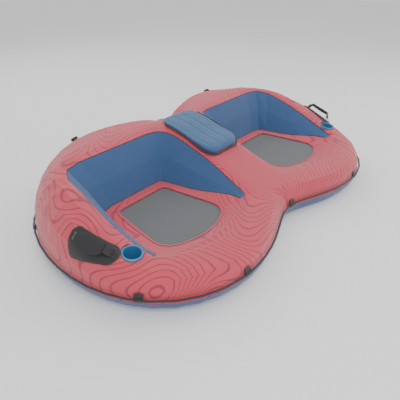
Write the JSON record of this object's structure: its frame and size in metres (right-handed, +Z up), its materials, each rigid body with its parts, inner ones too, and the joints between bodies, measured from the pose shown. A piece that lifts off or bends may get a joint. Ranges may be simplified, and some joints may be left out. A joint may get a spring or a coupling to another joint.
{
  "type": "towable tube",
  "caption": "Side-by-side inflatable towable tube with raised backrests, mesh seats, a grab line, side handles, cup holders and a zip-open cooler between the riders.",
  "frame": {"origin": "middle of the flat underside, under the middle of the overall box", "axes": "+X along the length across the two riders, -Y the way the riders face, +Z up"},
  "size_m": [2.4284, 1.4944, 0.47],
  "materials": {
    "red_nylon": "matte coated nylon",
    "blue_nylon": "matte coated nylon",
    "grey_mesh": "open drain mesh",
    "clear_pvc": "soft sheet",
    "light_blue_plastic": "moulded",
    "valve_plastic": "moulded",
    "black_webbing": "woven",
    "black_foam": "closed-cell foam",
    "dark_line": "braided",
    "white_liner": "wipe-clean",
    "bright_steel": "polished"
  },
  "bodies": {
    "hull": {"top_cover": "red_nylon", "bottom_cover": "blue_nylon", "backrest_panel_right": "blue_nylon", "seat_mesh_right": "grey_mesh", "seat_hem_right": "red_nylon", "air_chamber_right": "clear_pvc", "cup_holder_right": "light_blue_plastic", "valve_base_right": "valve_plastic", "handle_patch_right": "black_webbing", "handle_strap_right": "black_webbing", "handle_grip_right": "black_foam", "backrest_panel_left": "blue_nylon", "seat_mesh_left": "grey_mesh", "seat_hem_left": "red_nylon", "air_chamber_left": "clear_pvc", "cup_holder_left": "light_blue_plastic", "valve_base_left": "valve_plastic", "handle_patch_left": "black_webbing", "handle_strap_left": "black_webbing", "handle_grip_left": "black_foam", "grab_line": "dark_line", "line_keeper_front_waist": "black_webbing", "line_keeper_front_right": "black_webbing", "line_keeper_front_left": "black_webbing", "line_keeper_side_right": "black_webbing", "line_keeper_side_left": "black_webbing", "line_keeper_back_right": "black_webbing", "line_keeper_back_left": "black_webbing", "line_keeper_rear_right": "black_webbing", "line_keeper_rear_left": "black_webbing", "line_keeper_rear_waist": "black_webbing", "cooler_liner": "white_liner", "cooler_zip": "black_webbing", "cover_zip": "black_webbing", "tow_patch": "black_webbing", "tow_loop": "black_webbing"},
    "cooler_lid": {"cooler_lid": "blue_nylon"},
    "cooler_slider": {"cooler_slider": "bright_steel"},
    "cooler_pull": {"cooler_pull": "black_webbing"},
    "cover_slider": {"cover_slider": "bright_steel"},
    "cover_pull": {"cover_pull": "black_webbing"},
    "tow_ring": {"tow_ring": "bright_steel"},
    "valve_cap_right": {"valve_cap_right": "valve_plastic"},
    "valve_insert_right": {"valve_insert_right": "clear_pvc"},
    "valve_cap_left": {"valve_cap_left": "valve_plastic"},
    "valve_insert_left": {"valve_insert_left": "clear_pvc"}
  },
  "joints": [
    {"name": "lid_hinge", "type": "hinge", "parent": "hull", "child": "cooler_lid", "pos_m": [0, 0.345, 0.46198], "axis": [-1, 0, 0], "range_deg": [0, 100]},
    {"name": "cooler_slider_travel", "type": "slide", "parent": "hull", "child": "cooler_slider", "axis": [1, 0, 0], "range_m": [-0.125, 0.008]},
    {"name": "cooler_pull_hinge", "type": "hinge", "parent": "cooler_slider", "child": "cooler_pull", "pos_m": [0.06, -0.1135, 0.35282], "axis": [1, 0, 0], "range_deg": [-38, 12]},
    {"name": "cover_slider_travel", "type": "slide", "parent": "hull", "child": "cover_slider", "axis": [0.9949, 0.1005, 0], "range_m": [0, 0.02]},
    {"name": "cover_pull_hinge", "type": "hinge", "parent": "cover_slider", "child": "cover_pull", "pos_m": [-0.47191, 0.73395, 0.057], "axis": [0.9949, 0.1005, 0], "range_deg": [0, 100]},
    {"name": "tow_ring_hinge", "type": "hinge", "parent": "hull", "child": "tow_ring", "pos_m": [0, 0.56075, 0.192], "axis": [1, 0, 0], "range_deg": [-8, 120]},
    {"name": "valve_cap_turn_right", "type": "hinge", "parent": "hull", "child": "valve_cap_right", "pos_m": [0.64, 0.585, 0.4204], "axis": [0.1537, 0.5722, 0.8056], "range_deg": [0, 540]},
    {"name": "valve_insert_turn_right", "type": "hinge", "parent": "hull", "child": "valve_insert_right", "pos_m": [0.64, 0.585, 0.4204], "axis": [0.1537, 0.5722, 0.8056], "range_deg": [0, 540]},
    {"name": "valve_cap_turn_left", "type": "hinge", "parent": "hull", "child": "valve_cap_left", "pos_m": [-0.64, 0.585, 0.4204], "axis": [-0.1537, 0.5722, 0.8056], "range_deg": [0, 540]},
    {"name": "valve_insert_turn_left", "type": "hinge", "parent": "hull", "child": "valve_insert_left", "pos_m": [-0.64, 0.585, 0.4204], "axis": [-0.1537, 0.5722, 0.8056], "range_deg": [0, 540]}
  ]
}
